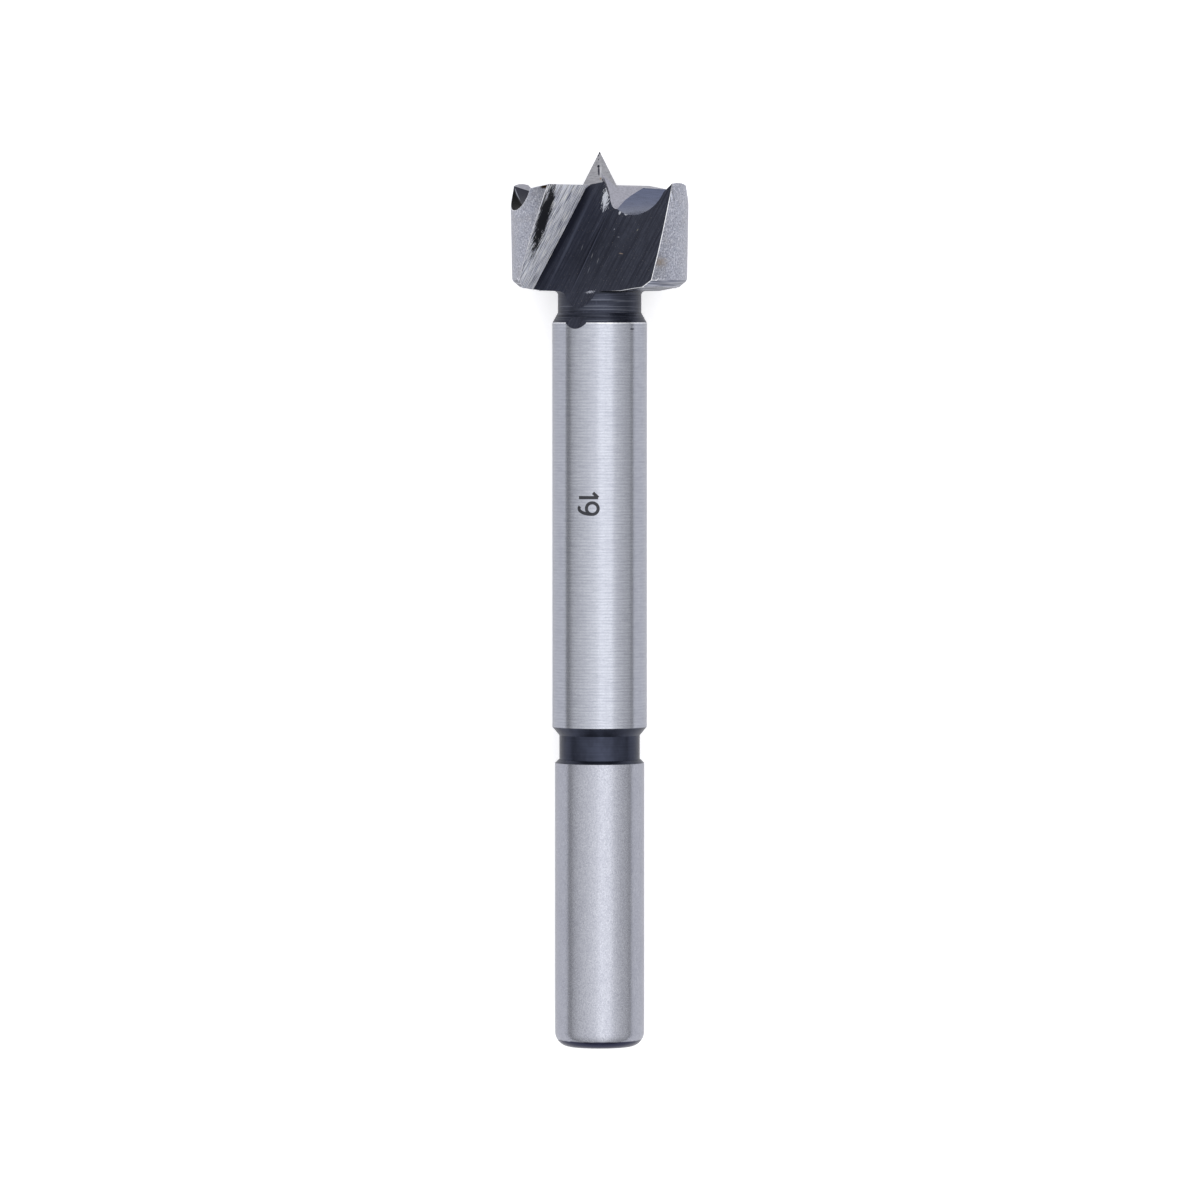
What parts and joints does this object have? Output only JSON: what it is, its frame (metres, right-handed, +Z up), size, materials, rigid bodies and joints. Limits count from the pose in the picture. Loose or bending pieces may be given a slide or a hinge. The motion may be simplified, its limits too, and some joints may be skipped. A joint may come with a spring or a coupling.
{
  "type": "forstner bit",
  "caption": "Forstner bit with a straight shank, a necked body and a cylindrical cutting head: lips over raked gullets, rim troughs and a pyramid centre point.",
  "frame": {"origin": "on the surface that the bit lies on, under the middle of its box", "axes": "+Y along the lying bit towards its centre point, +Z up from the surface, +X across"},
  "size_m": [0.019, 0.0956, 0.0156],
  "materials": {
    "steel": "ground tool steel, black oxide left in the gullets, the neck and the waist"
  },
  "bodies": {
    "root": {"bit": "steel"}
  },
  "joints": []
}
